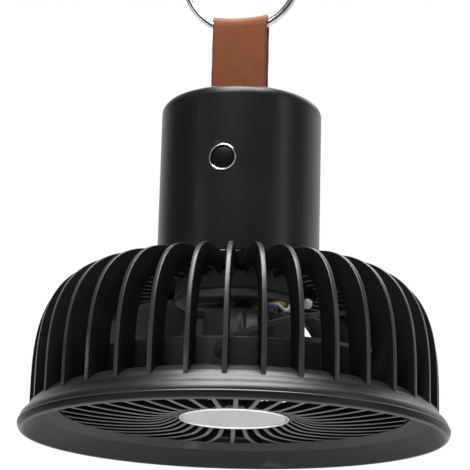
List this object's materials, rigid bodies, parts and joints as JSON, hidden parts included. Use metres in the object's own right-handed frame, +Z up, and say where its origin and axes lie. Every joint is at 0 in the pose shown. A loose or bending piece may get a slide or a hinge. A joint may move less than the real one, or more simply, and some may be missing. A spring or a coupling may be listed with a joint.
{
  "type": "portable camping fan",
  "caption": "Round black hanging fan: finned dome cage over a funnel grille, slim battery housing on top, leather strap with a split ring.",
  "frame": {"origin": "centre of the rim's flat lip, on the fan's axis, in the plane it stands on", "axes": "+Z up along the fan's axis, -Y towards the push button, +X to the right of it"},
  "size_m": [0.16, 0.16, 0.2071],
  "materials": {
    "housing_plastic": "soft satin black",
    "cage_plastic": "satin black",
    "grille_plastic": "satin black",
    "impeller_plastic": "satin black",
    "button_plastic": "semi-gloss black",
    "inner_plastic": "matt dark grey",
    "leather": "tan, fine grain",
    "ring_steel": "bright nickel",
    "chrome_trim": "bright chrome",
    "screw_steel": "bright zinc",
    "port_steel": "satin steel",
    "badge_grey": "satin silver grey",
    "board": "solder mask",
    "cell_sleeve": "shrink sleeve",
    "motor_metal": "dark cast",
    "stator_steel": "satin steel",
    "copper": "enamelled copper",
    "magnet": "sintered",
    "wire_yellow": "insulation",
    "wire_white": "insulation",
    "wire_purple": "insulation",
    "white_nylon": "nylon"
  },
  "bodies": {
    "base": {"battery_housing": "housing_plastic", "strap_clamp": "inner_plastic", "clamp_screws": "screw_steel", "strap_tails": "leather", "button_bezel": "chrome_trim", "tact_switch": "inner_plastic", "control_board": "board", "board_screws": "screw_steel", "charge_port": "port_steel", "charge_board": "board", "battery_cell_1": "cell_sleeve", "battery_cell_2": "cell_sleeve", "battery_cell_3": "cell_sleeve", "cell_cap": "inner_plastic", "neck_cup": "inner_plastic", "neck_screws": "screw_steel", "cage_flare": "cage_plastic", "cage_collar": "cage_plastic", "cage_fins": "cage_plastic", "front_grille": "grille_plastic", "badge_ring": "chrome_trim", "badge_disc": "badge_grey", "motor_plate": "motor_metal", "plate_screws": "screw_steel", "stator_core": "stator_steel", "stator_coils": "copper", "upper_bearing": "ring_steel", "lower_bearing": "ring_steel", "yellow_wire": "wire_yellow", "white_wire": "wire_white", "purple_wire": "wire_purple", "wire_clip": "white_nylon"},
    "rotor": {"rotor_can": "stator_steel", "magnet_ring": "magnet", "motor_shaft": "ring_steel", "impeller": "impeller_plastic", "impeller_nut": "screw_steel"},
    "button": {"power_button": "button_plastic"},
    "strap": {"leather_strap": "leather"},
    "ring": {"split_ring": "ring_steel"}
  },
  "joints": [
    {"name": "fan_spin", "type": "hinge", "parent": "base", "child": "rotor", "pos_m": [0, 0, 0.03], "axis": [0, 0, 1], "continuous": true},
    {"name": "button_press", "type": "slide", "parent": "base", "child": "button", "axis": [0, 1, 0], "range_m": [0, 0.0008], "stiffness_N_per_m": 500, "springref_m": -0.001},
    {"name": "strap_fold", "type": "hinge", "parent": "base", "child": "strap", "pos_m": [-0.0012, 0, 0.1314], "axis": [1, 0, 0], "range_deg": [-90, 90]},
    {"name": "ring_turn", "type": "hinge", "parent": "strap", "child": "ring", "pos_m": [-0.0012, 0, 0.18314], "axis": [0, 1, 0], "continuous": true}
  ]
}
